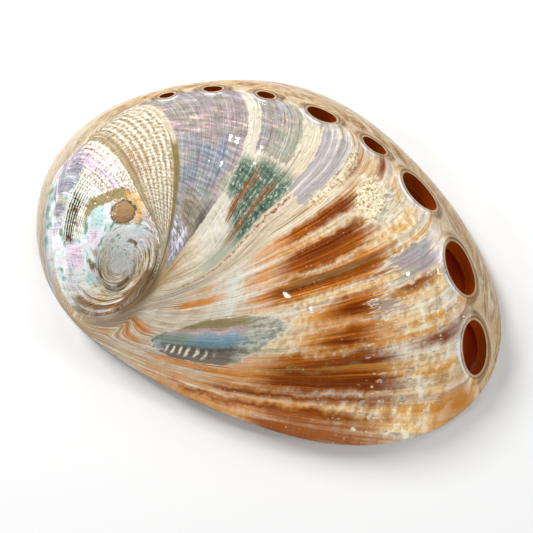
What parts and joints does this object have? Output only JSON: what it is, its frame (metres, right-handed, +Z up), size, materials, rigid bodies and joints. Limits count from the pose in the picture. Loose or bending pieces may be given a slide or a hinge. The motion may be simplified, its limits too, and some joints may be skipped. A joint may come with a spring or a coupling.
{
  "type": "abalone shell",
  "caption": "Empty polished abalone shell: one ear-shaped dome with a low spiral, a curved row of oval breathing holes and an open hollow underneath.",
  "frame": {"origin": "under the middle of the shell, on the surface that its mouth lies on", "axes": "+X from the spire to the growing front edge, +Y to the side with the breathing holes, +Z up through the back of the dome"},
  "size_m": [0.1202, 0.0866, 0.031],
  "materials": {
    "shell": "polished nacre in silver, lavender and cream with orange-brown growth rays, mirror-like gloss"
  },
  "bodies": {
    "root": {"shell": "shell"}
  },
  "joints": []
}
